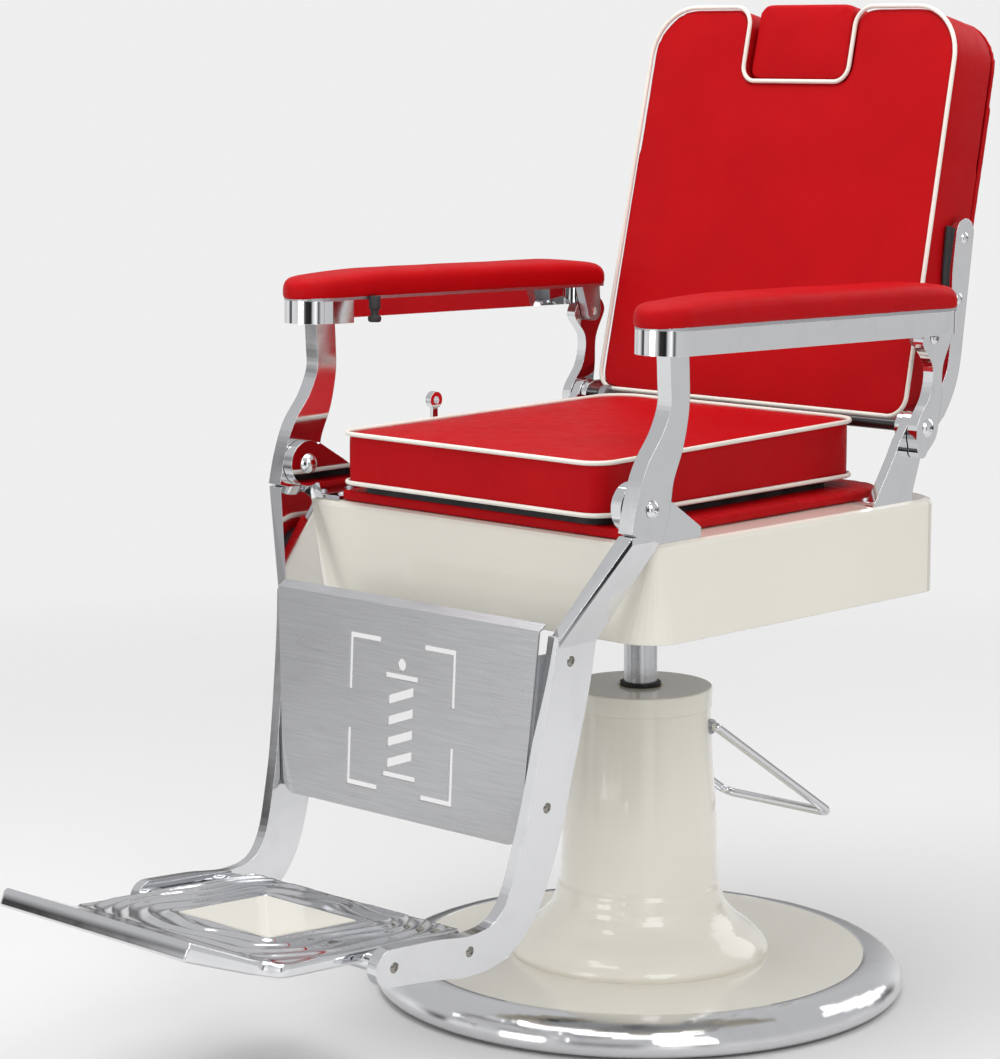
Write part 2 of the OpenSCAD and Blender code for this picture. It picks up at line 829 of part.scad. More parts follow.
floor_pad();
base_disc();
trim_ring();
column_cover();
column_cap();
guide_bush();
wiper_seal();
pump_cylinder();
pump_block();
pedal_bushes();
pump_pedal();
pump_cam();
pump_plunger();
ram();
thrust_bearing();
swivel_socket();
mount_plate();
seat_box();
seat_board();
cushion_base();
seat_cushion();
front_bracket_left();
front_bracket_right();
rear_bracket_left();
rear_bracket_right();
bracket_screws();
front_pivot_bolts();
recline_cylinder();
cylinder_clamps();
lever_pin();
recline_rod();
recline_lever();
recline_shaft();
recline_crank();
rear_arm_left();
rear_arm_right();
back_bar_left();
back_bar_right();
back_bar_screws();
back_spacers();
back_pad();
back_panel();
headrest_sleeve();
headrest_pad();
headrest_stem();
arm_band_left();
arm_base_left();
arm_pad_left();
arm_pins_left();
arm_band_right();
arm_base_right();
arm_pad_right();
arm_pins_right();
side_frame_left();
side_frame_right();
kick_panel();
panel_tray();
footrest();
footrest_inset();
leg_screws();
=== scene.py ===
"""Looks of a hydraulic barber chair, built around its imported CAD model. Lengths are in metres."""

import json
import math

import bmesh
import bpy
from mathutils import Matrix, Vector, noise
from mathutils.kdtree import KDTree


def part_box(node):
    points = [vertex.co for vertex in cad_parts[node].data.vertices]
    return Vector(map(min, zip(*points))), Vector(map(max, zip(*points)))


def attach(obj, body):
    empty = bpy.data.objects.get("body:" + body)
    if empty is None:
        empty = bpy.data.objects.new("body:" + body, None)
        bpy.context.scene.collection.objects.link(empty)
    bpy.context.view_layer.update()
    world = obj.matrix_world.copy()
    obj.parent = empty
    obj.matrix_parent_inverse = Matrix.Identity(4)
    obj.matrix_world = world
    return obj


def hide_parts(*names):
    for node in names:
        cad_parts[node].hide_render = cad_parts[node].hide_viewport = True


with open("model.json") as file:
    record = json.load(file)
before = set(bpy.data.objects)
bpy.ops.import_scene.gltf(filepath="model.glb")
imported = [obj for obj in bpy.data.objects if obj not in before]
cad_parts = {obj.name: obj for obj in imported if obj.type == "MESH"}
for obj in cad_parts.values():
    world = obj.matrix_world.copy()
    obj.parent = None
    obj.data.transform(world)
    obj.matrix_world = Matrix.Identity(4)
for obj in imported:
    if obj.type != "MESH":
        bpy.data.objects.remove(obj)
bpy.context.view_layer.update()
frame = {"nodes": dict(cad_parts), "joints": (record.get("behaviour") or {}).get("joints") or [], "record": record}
scene = bpy.context.scene
scene.view_settings.view_transform = "Standard"

MM = 0.001

# Colours, as linear RGB.
RED = (0.47, 0.004, 0.007)
CREAM = (0.83, 0.80, 0.71)
PIPING = (0.86, 0.83, 0.75)
CHROME = (0.75, 0.755, 0.77)
BLACK = (0.012, 0.012, 0.013)
BACKDROP = (0.86, 0.86, 0.86)


# ---- Materials ----

class Shader:
    """A procedural material under construction. Textures follow the piece's own coordinates, in metres."""

    def __init__(self, name, **inputs):
        self.material = bpy.data.materials.new(name)
        self.material.use_nodes = True
        self.tree = self.material.node_tree
        self.surface = self.tree.nodes["Principled BSDF"]
        self.place = self.add("ShaderNodeTexCoord").outputs["Object"]
        self.normal = None
        self.set(**inputs)

    def add(self, kind, **settings):
        node = self.tree.nodes.new(kind)
        for key, value in settings.items():
            setattr(node, key, value)
        return node

    def wire(self, value, socket):
        """Links the value if it is another node's output, and otherwise sets it as a constant."""
        if isinstance(value, bpy.types.NodeSocket):
            self.tree.links.new(value, socket)
        else:
            socket.default_value = value

    def set(self, **inputs):
        """Sets or links the surface's inputs: base_color becomes Base Color."""
        for key, value in inputs.items():
            words = key.replace("_", " ").title().replace("Ior", "IOR")
            if isinstance(value, tuple) and len(value) == 3:
                value = (*value, 1.0)
            self.wire(value, self.surface.inputs[words])

    def stretched(self, scale):
        mapping = self.add("ShaderNodeMapping")
        self.wire(self.place, mapping.inputs["Vector"])
        mapping.inputs["Scale"].default_value = scale
        return mapping.outputs["Vector"]

    def noise(self, scale, detail, stretch=(1, 1, 1), distortion=0.0):
        node = self.add("ShaderNodeTexNoise")
        self.wire(self.stretched(stretch), node.inputs["Vector"])
        node.inputs["Scale"].default_value = scale
        node.inputs["Detail"].default_value = detail
        node.inputs["Distortion"].default_value = distortion
        return node.outputs["Fac"]

    def cells(self, scale):
        node = self.add("ShaderNodeTexVoronoi", feature="DISTANCE_TO_EDGE")
        self.wire(self.place, node.inputs["Vector"])
        node.inputs["Scale"].default_value = scale
        return node.outputs["Distance"]

    def waves(self, scale, direction, distortion):
        node = self.add("ShaderNodeTexWave", bands_direction=direction)
        self.wire(self.place, node.inputs["Vector"])
        node.inputs["Scale"].default_value = scale
        node.inputs["Distortion"].default_value = distortion
        return node.outputs["Fac"]

    def remap(self, source, low, high, out_low, out_high):
        node = self.add("ShaderNodeMapRange")
        self.wire(source, node.inputs["Value"])
        for name, value in zip(("From Min", "From Max", "To Min", "To Max"),
                               (low, high, out_low, out_high)):
            node.inputs[name].default_value = value
        return node.outputs["Result"]

    def mix(self, share, first, second):
        """Mixes two colours. The node's inputs 0, 6 and 7 are its factor and its colours A and B."""
        node = self.add("ShaderNodeMix", data_type="RGBA")
        self.wire(share, node.inputs[0])
        self.wire((*first, 1.0) if isinstance(first, tuple) else first, node.inputs[6])
        self.wire((*second, 1.0) if isinstance(second, tuple) else second, node.inputs[7])
        return node.outputs[2]

    def soft_edges(self, radius):
        """Rounds the edges' shading. It comes before any bump."""
        node = self.add("ShaderNodeBevel", samples=4)
        node.inputs["Radius"].default_value = radius
        self.normal = node.outputs["Normal"]

    def bump(self, height, distance, strength):
        node = self.add("ShaderNodeBump")
        node.inputs["Strength"].default_value = strength
        node.inputs["Distance"].default_value = distance
        self.wire(height, node.inputs["Height"])
        if self.normal is not None:
            self.wire(self.normal, node.inputs["Normal"])
        self.normal = node.outputs["Normal"]
        self.set(normal=self.normal)


def shade(colour, factor):
    return tuple(c * factor for c in colour)


def vinyl(name, colour, grain=900, roughness=(0.36, 0.5)):
    """Grained upholstery vinyl: pebbled cells, darker valleys, slight patches of colour and gloss."""
    s = Shader(name, specular_ior_level=0.06)
    patches = s.noise(14, 3)
    fine = s.noise(1800, 1)
    cells = s.cells(grain)
    tint = s.mix(s.remap(patches, 0.3, 0.7, 0, 1), shade(colour, 0.93), shade(colour, 1.05))
    s.set(base_color=s.mix(s.remap(cells, 0.0, 0.12, 0, 1), shade(colour, 0.8), tint))
    s.set(roughness=s.remap(s.noise(60, 4), 0.3, 0.7, *roughness))
    s.bump(s.noise(22, 2), 1.2 * MM, 0.35)
    s.bump(s.remap(cells, 0.0, 0.2, 0, 1), 0.12 * MM, 0.55)
    s.bump(fine, 0.04 * MM, 0.3)
    return s.material


def enamel(name, colour):
    """Thick glossy enamel: a clear coat, a faint orange peel and slow waves in the gloss."""
    s = Shader(name, specular_ior_level=0.3, coat_weight=1.0, coat_roughness=0.04, coat_ior=1.45)
    s.soft_edges(1.5 * MM)
    patches = s.noise(5, 3)
    s.set(base_color=s.mix(s.remap(patches, 0.35, 0.65, 0, 1), shade(colour, 0.975), colour))
    s.set(roughness=s.remap(s.noise(12, 3), 0.35, 0.65, 0.28, 0.36))
    s.bump(s.noise(110, 0), 0.05 * MM, 0.25)
    s.bump(s.noise(18, 0), 0.3 * MM, 0.2)
    return s.material


def plated(name, colour, roughness=(0.03, 0.09), ripple=0.12, rounding=0.9 * MM):
    """Bright plate: slight ripple of the polished metal below, wiping haze and hairline scratches."""
    s = Shader(name, metallic=1.0, base_color=colour)
    s.soft_edges(rounding)
    haze = s.noise(18, 5, distortion=1.2)
    hair = s.noise(300, 3, stretch=(1.0, 0.06, 1.0))
    s.set(roughness=s.remap(haze, 0.35, 0.75, *roughness))
    s.set(base_color=s.mix(s.remap(haze, 0.5, 0.8, 0, 1), colour, shade(colour, 0.94)))
    s.bump(s.noise(30, 1), 0.3 * MM, ripple)
    s.bump(s.remap(hair, 0.6, 0.62, 0, 1), 0.01 * MM, 0.15)
    return s.material


def brushed(name, colour, roughness, stretch):
    """Brushed or ground metal: long fine lines along one direction."""
    s = Shader(name, metallic=1.0)
    s.soft_edges(0.6 * MM)
    lines = s.noise(650, 1, stretch=stretch)
    patches = s.noise(9, 3)
    s.set(base_color=s.mix(s.remap(lines, 0.3, 0.7, 0, 1), shade(colour, 0.88), colour))
    s.set(roughness=s.remap(patches, 0.3, 0.7, *roughness))
    s.bump(lines, 0.015 * MM, 0.2)
    return s.material


def rubber(name, colour):
    """Dull rubber with an uneven tone and a fine rough skin."""
    s = Shader(name, specular_ior_level=0.35)
    s.set(base_color=s.mix(s.noise(40, 4), shade(colour, 0.7), shade(colour, 1.6)))
    s.set(roughness=s.remap(s.noise(120, 3), 0.3, 0.7, 0.55, 0.75))
    s.bump(s.noise(700, 3), 0.1 * MM, 0.5)
    return s.material


def board_cloth(name, colour):
    """Black covering of a board: a fine woven texture."""
    s = Shader(name)
    warp = s.waves(260, "X", 0.6)
    weft = s.waves(260, "Y", 0.6)
    s.set(base_color=s.mix(warp, shade(colour, 0.6), shade(colour, 2.2)))
    s.set(roughness=s.remap(s.noise(50, 3), 0.3, 0.7, 0.7, 0.9))
    s.bump(warp, 0.12 * MM, 0.6)
    s.bump(weft, 0.12 * MM, 0.6)
    return s.material


red_vinyl = vinyl("red_vinyl", RED)
white_vinyl = vinyl("white_piping_vinyl", PIPING, grain=1300, roughness=(0.4, 0.55))
cream_enamel = enamel("cream_enamel", CREAM)
# Black enamel is the own colour of the black-painted parts. On the recline shaft it is painted shade: the shaft's
# black stands for the shadow in the gap between seat cushion and backrest.
black_enamel_and_shaft_gap_shade = enamel("black_enamel_and_shaft_gap_shade", BLACK)
chrome = plated("chrome_plate", CHROME)
rim_chrome = plated("rim_chrome_plate", CHROME, rounding=7 * MM)
casting = plated("plated_casting", CHROME, roughness=(0.05, 0.13), ripple=0.25)
satin = brushed("satin_sheet", (0.62, 0.625, 0.64), (0.26, 0.32), (0.03, 1.0, 1.0))
ground = brushed("ground_bar", (0.62, 0.63, 0.65), (0.2, 0.3), (1.0, 1.0, 0.04))
zinc = brushed("zinc_plated_steel", (0.5, 0.51, 0.53), (0.35, 0.5), (1.0, 0.3, 1.0))
bronze = brushed("sintered_bronze", (0.6, 0.42, 0.22), (0.35, 0.5), (1.0, 1.0, 0.4))
# The leg screws' plate is made dark: painted reflection of the dark surroundings that their domed heads mirror.
screw_plate_dark_reflection = plated("screw_plate_dark_reflection", (0.3, 0.285, 0.26), roughness=(0.08, 0.16))
black_rubber = rubber("black_rubber", (0.03, 0.03, 0.031))
black_board = board_cloth("black_board", BLACK)

BY_SLOT = {
    "black_rubber": black_rubber, "cream_paint": cream_enamel, "chrome": chrome,
    "polished_casting": casting, "satin_steel": satin, "ground_steel": ground,
    # black_paint also covers the recline shaft, whose black is painted shade for the gap under the backrest.
    "plain_steel": zinc, "bronze": bronze, "black_paint": black_enamel_and_shaft_gap_shade,
    "black_board": black_board, "red_vinyl": red_vinyl,
}
# Nodes that look different from the rest of their slot in the photograph.
# The leg screws get the dark plate above, which is a painted reflection.
BY_NODE = {"trim_ring": rim_chrome, "leg_screws": screw_plate_dark_reflection, "pedal_bushes": zinc}


def dress_cad_nodes():
    """Gives every CAD node its own material or its slot's."""
    for part in frame["record"]["subparts"]:
        node = frame["nodes"][part["node"]]
        look = BY_NODE.get(part["node"], BY_SLOT[part["material_slot"]])
        node.data.materials.clear()
        node.data.materials.append(look)


# ---- Mesh helpers ----

def mesh_object(name, points, faces, material):
    mesh = bpy.data.meshes.new(name)
    mesh.from_pydata([tuple(p) for p in points], [], faces)
    mesh.validate()
    made = bpy.data.objects.new(name, mesh)
    scene.collection.objects.link(made)
    mesh.materials.append(material)
    mesh.polygons.foreach_set("use_smooth", [True] * len(mesh.polygons))
    clean = bmesh.new()
    clean.from_mesh(mesh)
    bmesh.ops.recalc_face_normals(clean, faces=clean.faces)
    clean.to_mesh(mesh)
    clean.free()
    return made


def place(piece, matrix):
    """Moves the piece's mesh, so that the piece itself stays at the frame's origin."""
    piece.data.transform(matrix)
    piece.data.update()


def arc(x, y, r, a, b, steps=8):
    """Points round x, y from angle a to angle b, in degrees."""
    turns = [math.radians(a + (b - a) * i / steps) for i in range(steps + 1)]
    return [Vector((x + r * math.cos(t), y + r * math.sin(t))) for t in turns]


def tapered_outline(a, b, y0, y1, r0, r1):
    """Outline from half width a at y0 to b at y1, its corners rounded by r0 and r1."""
    return (arc(a - r0, y0 + r0, r0, -90, 0) + arc(b - r1, y1 - r1, r1, 0, 90)
            + arc(-b + r1, y1 - r1, r1, 90, 180) + arc(-a + r0, y0 + r0, r0, 180, 270))


def slab(outline, z0, z1):
    """Points and faces of an outline extruded from z0 to z1."""
    n = len(outline)
    points = at_height(outline, z0) + at_height(outline, z1)
    faces = [tuple(range(n))[::-1], tuple(range(n, 2 * n))]
    faces += [(i, (i + 1) % n, n + (i + 1) % n, n + i) for i in range(n)]
    return points, faces


def at_height(outline, z):
    return [Vector((p.x, p.y, z)) for p in outline]


def upright(points, faces):
    """Turns an outline extruded along z into one that stands up: its z becomes the depth y."""
    return [Vector((p.x, p.z, p.y)) for p in points], faces


def standing(outline, y):
    return [Vector((p.x, y, p.y)) for p in outline]


def joined(*parts):
    points, faces = [], []
    for p, f in parts:
        faces += [tuple(i + len(points) for i in face) for face in f]
        points += p
    return points, faces


def stacked_faces(rings, sides):
    """Faces of a closed skin over rings of points, capped at both ends."""
    faces = []
    for i in range(rings - 1):
        for k in range(sides):
            m = (k + 1) % sides
            faces.append((i * sides + k, i * sides + m, (i + 1) * sides + m, (i + 1) * sides + k))
    caps = [tuple(range(sides))[::-1], tuple(range((rings - 1) * sides, rings * sides))]
    return faces + caps


def densified(path, step):
    """A closed path with points no further apart than step."""
    out = []
    for a, b in zip(path, path[1:] + path[:1]):
        count = max(1, math.ceil((b - a).length / step))
        out += [a.lerp(b, i / count) for i in range(count)]
    return out


def baked(piece):
    """Replaces the piece's mesh by what its modifiers make of it."""
    graph = bpy.context.evaluated_depsgraph_get()
    made = bpy.data.meshes.new_from_object(piece.evaluated_get(graph))
    piece.modifiers.clear()
    piece.data = made
    made.polygons.foreach_set("use_smooth", [True] * len(made.polygons))


def remeshed(piece, voxel, smoothing):
    """Gives the piece even faces of the size of a voxel and rounds its edges."""
    remesh = piece.modifiers.new("remesh", "REMESH")
    remesh.mode = "VOXEL"
    remesh.voxel_size = voxel
    smooth = piece.modifiers.new("smooth", "SMOOTH")
    smooth.factor = 0.5
    smooth.iterations = smoothing
    baked(piece)


def subdivided(piece):
    part = piece.modifiers.new("subdivision", "SUBSURF")
    part.levels = part.render_levels = 1
    baked(piece)


def bevelled(piece, width, segments):
    bevel = piece.modifiers.new("bevel", "BEVEL")
    bevel.width, bevel.segments, bevel.limit_method = width, segments, "ANGLE"
    baked(piece)


def tree_of(points):
    tree = KDTree(len(points))
    for i, p in enumerate(points):
        tree.insert(p, i)
    tree.balance()
    return tree


CLOTH_PRESSURE = 4.0
CLOTH_STEPS = 20


def inflated(piece, seams, cap, hold=5 * MM, floor_z=None):
    """Blows the pad up as cloth that its seams hold, then limits how far each point moved by cap.

    Points within hold of a seam are pinned, and fewer and fewer up to twice that.
    """
    tree = tree_of(seams)
    mesh = piece.data
    start = [v.co.copy() for v in mesh.vertices]
    near = [tree.find(p)[2] for p in start]
    group = piece.vertex_groups.new(name="seams")
    for i, d in enumerate(near):
        if d < 2 * hold:
            group.add([i], 1.0 if d < hold else (2 * hold - d) / hold, "REPLACE")
    cloth = piece.modifiers.new("Cloth", "CLOTH")
    cloth.settings.vertex_group_mass = "seams"
    cloth.settings.use_pressure = True
    cloth.settings.uniform_pressure_force = CLOTH_PRESSURE
    cloth.settings.tension_stiffness = 25
    cloth.settings.compression_stiffness = 25
    cloth.settings.shear_stiffness = 10
    cloth.settings.bending_stiffness = 1.0
    cloth.settings.effector_weights.gravity = 0
    cloth.settings.quality = 5
    cloth.collision_settings.use_collision = False
    cloth.point_cache.frame_start = 1
    cloth.point_cache.frame_end = CLOTH_STEPS
    for step in range(1, CLOTH_STEPS + 1):
        scene.frame_set(step)
    graph = bpy.context.evaluated_depsgraph_get()
    ends = [v.co.copy() for v in piece.evaluated_get(graph).data.vertices]
    piece.modifiers.clear()
    piece.vertex_groups.clear()
    scene.frame_set(1)
    for v, a, b in zip(mesh.vertices, start, ends):
        travel = b - a
        length = travel.length
        if length > 1e-7:
            v.co = a + travel * (cap * math.tanh(length / cap) / length)
        if floor_z is not None and v.co.z < floor_z:
            v.co.z = floor_z
    mesh.update()


PUCKER_SIZE = 11 * MM
PUCKER_START = 8 * MM
HOLLOW_START = 20 * MM


def ruffled(piece, seams, depth, size, reach=70 * MM):
    """Adds the soft unevenness of a filled cover: gentle hollows all over, and puckers across its seams."""
    tree = tree_of(seams)
    moves = []
    for v in piece.data.vertices:
        near, _, distance = tree.find(v.co)
        broad = noise.noise(v.co / size) * depth
        fade = max(0.0, 1 - distance / reach) * min(1.0, distance / PUCKER_START)
        pucker = noise.noise(Vector(near) / PUCKER_SIZE) * depth * 0.9 * fade
        moves.append(v.normal * (broad * min(1.0, distance / HOLLOW_START) + pucker))
    for v, move in zip(piece.data.vertices, moves):
        v.co += move
    piece.data.update()


def kept_above(piece, z):
    """Flattens what hangs below z, where the piece rests on something."""
    for v in piece.data.vertices:
        v.co.z = max(v.co.z, z)


TUBE_SIDES = 10


def tube(name, path, radius, material):
    """A tube round a closed path of points, with rings that don't twist."""
    count, sides = len(path), TUBE_SIDES
    points, faces = [], []
    before = None
    for i, p in enumerate(path):
        along = (path[(i + 1) % count] - path[i - 1]).normalized()
        if before is None:
            before = along.orthogonal().normalized()
        before = (before - along * before.dot(along)).normalized()
        side = along.cross(before)
        for k in range(sides):
            a = 2 * math.pi * k / sides
            points.append(p + (before * math.cos(a) + side * math.sin(a)) * radius)
    # The last ring meets the first at the turn that brings their points closest.
    first, last = points[:sides], points[-sides:]
    shift = min(range(sides), key=lambda s: sum(
        (last[k] - first[(k + s) % sides]).length for k in range(sides)))
    for i in range(count):
        j = (i + 1) % count
        turn = shift if i == count - 1 else 0
        for k in range(sides):
            m = (k + 1) % sides
            faces.append((i * sides + k, i * sides + m, j * sides + (m + turn) % sides,
                          j * sides + (k + turn) % sides))
    return mesh_object(name, points, faces, material)


PIPE_R = 2.7 * MM
SEAM_STEP = 4 * MM


def piping(name, path, body, matrix=None):
    """Covered cord sewn into a seam."""
    cord = tube(name, densified(path, SEAM_STEP), PIPE_R, white_vinyl)
    if matrix is not None:
        place(cord, matrix)
    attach(cord, body)


def padded(piece, body, node):
    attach(piece, body)
    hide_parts(node)


# ---- Seat ----

CUSHION_WEDGE = 8 * MM
CUSHION_CAP = 6 * MM


def wedge(p, low, high):
    """How much fuller the seat cushion is towards its rear."""
    back = min(1.0, max(0.0, (p.y - low.y) / (high.y - low.y)))
    return CUSHION_WEDGE * back * max(0.0, (p.z - low.z) / (high.z - low.z))


def seat_cushion():
    low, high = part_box("seat_cushion")
    half = high.x
    edge, narrowing = 2 * MM, 10 * MM
    outline = tapered_outline(half - edge, half - narrowing, low.y + edge, high.y - edge,
                              26 * MM, 38 * MM)
    foot, head = low.z + 1.5 * MM, high.z - 3 * MM
    pad = mesh_object("seat_cushion_cover", *slab(outline, low.z, high.z - 1 * MM), red_vinyl)
    seams = (densified(at_height(outline, head + 2 * MM), SEAM_STEP)
             + densified(at_height(outline, foot), SEAM_STEP))
    remeshed(pad, 5 * MM, smoothing=1)
    inflated(pad, seams, cap=CUSHION_CAP, floor_z=low.z)
    ruffled(pad, seams, 0.8 * MM, 70 * MM)
    subdivided(pad)
    for v in pad.data.vertices:
        v.co.z += wedge(v.co, low, high)
    padded(pad, "seat", "seat_cushion")

    outside = 0.6 * MM
    ring = tapered_outline(half + outside, half - 7.4 * MM, low.y - outside, high.y + outside,
                           28 * MM, 40 * MM)
    top = at_height(ring, head + 1.2 * MM)
    for p in top:
        p.z += wedge(p, low, high)
    piping("seat_cushion_piping_top", top, "seat")
    piping("seat_cushion_piping_bottom", at_height(ring, foot + 1.6 * MM), "seat")


def seat_board():
    """The thin padded board, notched where the brackets stand and the recline crank swings."""
    low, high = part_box("seat_board")
    bracket_x, bracket_y = 221 * MM, -212 * MM
    crank_x, crank_y = -214 * MM, 104 * MM
    rear_x, rear_y, rear_r = 226 * MM, 200 * MM, 60 * MM
    crank_r = 20 * MM
    gap = 1.0 * MM
    side = high.x - 1 * MM
    outline = [Vector((bracket_x - gap, low.y)), Vector((bracket_x - gap, bracket_y + gap))]
    outline += [Vector((side, bracket_y + gap))]
    outline += arc(rear_x - rear_r, rear_y - rear_r, rear_r, 0, 90)
    outline += arc(crank_x + gap + crank_r, rear_y - crank_r, crank_r, 90, 180)
    outline += [Vector((crank_x + gap, crank_y - gap))]
    outline += [Vector((-side, crank_y - gap)), Vector((-side, bracket_y + gap))]
    outline += [Vector((-bracket_x + gap, bracket_y + gap)), Vector((-bracket_x + gap, low.y))]
    pad = mesh_object("seat_board_cover", *slab(outline, low.z, high.z), red_vinyl)
    remeshed(pad, 3.5 * MM, smoothing=5)
    ruffled(pad, densified(at_height(outline, low.z), 5 * MM), 0.7 * MM, 45 * MM)
    kept_above(pad, low.z)
    padded(pad, "seat", "seat_board")


# ---- Backrest ----

# The backrest is drawn upright above its pivot and then leant back.
BACK_LEAN = math.radians(12.6)
FOOT_Z = 9 * MM
HEAD_Z = 502 * MM
# Half widths and corner radii, at the foot and at the head.
BACK_HALF = (242 * MM, 237 * MM)
BACK_CORNERS = (25 * MM, 65 * MM)
NOTCH_HALF = 82 * MM
NOTCH_Z = HEAD_Z - 93 * MM
NOTCH_DEPTH = 62 * MM


def joint_at(name):
    return next(j for j in frame["joints"] if j["name"] == name)["pos_m"]


def back_frame():
    pivot = joint_at("recline")
    return Matrix.Translation((0, pivot[1], pivot[2])) @ Matrix.Rotation(-BACK_LEAN, 4, "X")


def back_outline(inset):
    return tapered_outline(*(h - inset for h in BACK_HALF), FOOT_Z + inset, HEAD_Z - inset,
                           *(r - inset for r in BACK_CORNERS))


def notched_outline(inset):
    """The backrest's front edge, with the headrest's notch in its top, from the middle of its foot."""
    a, b = (h - inset for h in BACK_HALF)
    r0, r1 = (r - inset for r in BACK_CORNERS)
    z0, z1 = FOOT_Z + inset, HEAD_Z - inset
    notch, low = NOTCH_HALF + inset, NOTCH_Z - inset
    flare, round_r = 24 * MM, 20 * MM
    right = arc(a - r0, z0 + r0, r0, -90, 0) + arc(b - r1, z1 - r1, r1, 0, 90, 12)
    right += arc(notch + flare, z1 - flare, flare, 90, 180)
    right += arc(notch - round_r, low + round_r, round_r, 0, -90)
    return right + [Vector((-p.x, p.y)) for p in reversed(right)]


def back_cushion():
    """The pad, whose front part has the notch and whose rear part has none, with its piping."""
    matrix = back_frame()
    inset, front_y, rear_y = 2 * MM, 3 * MM, 85 * MM
    overlap = 3 * MM
    front = slab(notched_outline(inset), front_y, NOTCH_DEPTH)
    rear = slab(back_outline(inset), NOTCH_DEPTH - overlap, rear_y)
    pad = mesh_object("back_cushion_cover", *upright(*joined(front, rear)), red_vinyl)
    seams = (densified(standing(notched_outline(inset), front_y), SEAM_STEP)
             + densified(standing(back_outline(inset), rear_y), SEAM_STEP))
    remeshed(pad, 5.5 * MM, smoothing=1)
    inflated(pad, seams, cap=5 * MM)
    ruffled(pad, seams, 0.7 * MM, 90 * MM)
    subdivided(pad)
    place(pad, matrix)
    padded(pad, "backrest", "back_pad")
    piping("back_cushion_piping", standing(notched_outline(0.4 * MM), 2.4 * MM), "backrest",
           matrix=matrix)


def back_panel():
    """The covered board behind the pad, and the seam between them."""
    matrix = back_frame()
    low_y, high_y = 86 * MM, 96 * MM
    trim = back_outline(3.5 * MM)
    panel = mesh_object("back_panel_cover", *upright(*slab(trim, low_y, high_y)), red_vinyl)
    remeshed(panel, 4.5 * MM, smoothing=6)
    ruffled(panel, densified(standing(trim, (low_y + high_y) / 2), 5 * MM), 0.7 * MM, 80 * MM)
    place(panel, matrix)
    padded(panel, "backrest", "back_panel")
    path = densified(standing(trim, low_y - 0.2 * MM), SEAM_STEP)
    seam = tube("back_panel_seam", path, 1.6 * MM, red_vinyl)
    place(seam, matrix)
    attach(seam, "backrest")


def headrest():
    low, high = 412 * MM, 507 * MM
    outline = tapered_outline(76 * MM, 74 * MM, low, high, 14 * MM, 16 * MM)
    pad = mesh_object("headrest_cover", *upright(*slab(outline, 7 * MM, 56 * MM)), red_vinyl)
    seams = (densified(standing(outline, 12 * MM), SEAM_STEP)
             + densified(standing(outline, 55 * MM), SEAM_STEP))
    remeshed(pad, 4 * MM, smoothing=6)
    inflated(pad, seams, cap=5 * MM, hold=3 * MM)
    ruffled(pad, seams, 0.5 * MM, 40 * MM, reach=30 * MM)
    subdivided(pad)
    place(pad, back_frame())
    padded(pad, "headrest", "headrest_pad")


# ---- Armrests ----

# An armrest is drawn level, from its rear pivot forwards, and then raised towards the front.
ARM_SLOPE = math.radians(1)
ARM_X = 275 * MM
ARM_BASE = 33.6 * MM


def arm_frame():
    pivot = joint_at("arm_left_tilt")
    return Matrix.Translation((0, pivot[1], pivot[2])) @ Matrix.Rotation(-ARM_SLOPE, 4, "X")


def section_point(angle, half, height):
    """Point of the pad's rounded section: nearly square below its middle, softly crowned above."""
    c, s = math.cos(angle), math.sin(angle)
    across, upwards, share = (0.45, 0.85, 0.58) if s > 0 else (0.3, 0.3, 0.42)
    x = math.copysign(abs(c) ** across, c) * half
    return x, height * (0.42 + share * math.copysign(abs(s) ** upwards, s))


def arm_pad(side, name):
    """One long pad: half-round in front, crowned across and thinned towards both ends."""
    x_mid = side * ARM_X
    half, thick = 36 * MM, 34 * MM
    front, rear = -507 * MM, 14.5 * MM
    nose, tail = 150 * MM, 90 * MM
    blunt, rear_round = 22 * MM, 20 * MM
    stations, sides = 100, 40
    points = []
    for i in range(stations):
        u = 0.5 - 0.5 * math.cos(math.pi * i / (stations - 1))
        y = front + (rear - front) * u
        into, out = y - front, rear - y
        w = half * math.sqrt(max(0.0, 1 - (1 - min(1.0, into / half)) ** 2))
        w *= max(0.0, 1 - (1 - min(1.0, out / blunt)) ** 3) ** (1 / 3)
        h = thick * (0.74 + 0.26 * math.sin(math.pi / 2 * min(1.0, into / nose)))
        h *= 0.45 + 0.55 * math.sqrt(1 - (1 - min(1.0, into / blunt)) ** 2)
        h *= 0.8 + 0.2 * math.sin(math.pi / 2 * min(1.0, out / tail))
        h *= 0.5 + 0.5 * math.sqrt(1 - (1 - min(1.0, out / rear_round)) ** 2)
        w, h = max(w, 0.4 * MM), max(h, 1 * MM)
        for k in range(sides):
            x, z = section_point(2 * math.pi * k / sides, w, h)
            points.append(Vector((x_mid + x, y, ARM_BASE + z)))
    pad = mesh_object(name + "_cover", points, stacked_faces(stations, sides), red_vinyl)
    remeshed(pad, 3.2 * MM, smoothing=4)
    seams = [Vector((x_mid + s * half, front + half + t * (rear - front - half), ARM_BASE))
             for s in (-1, 1) for t in (i / 100 for i in range(101))]
    ruffled(pad, seams, 0.5 * MM, 50 * MM, reach=25 * MM)
    kept_above(pad, ARM_BASE)
    place(pad, arm_frame())
    padded(pad, arm_body(side), name)


def arm_body(side):
    return "arm_left" if side > 0 else "arm_right"


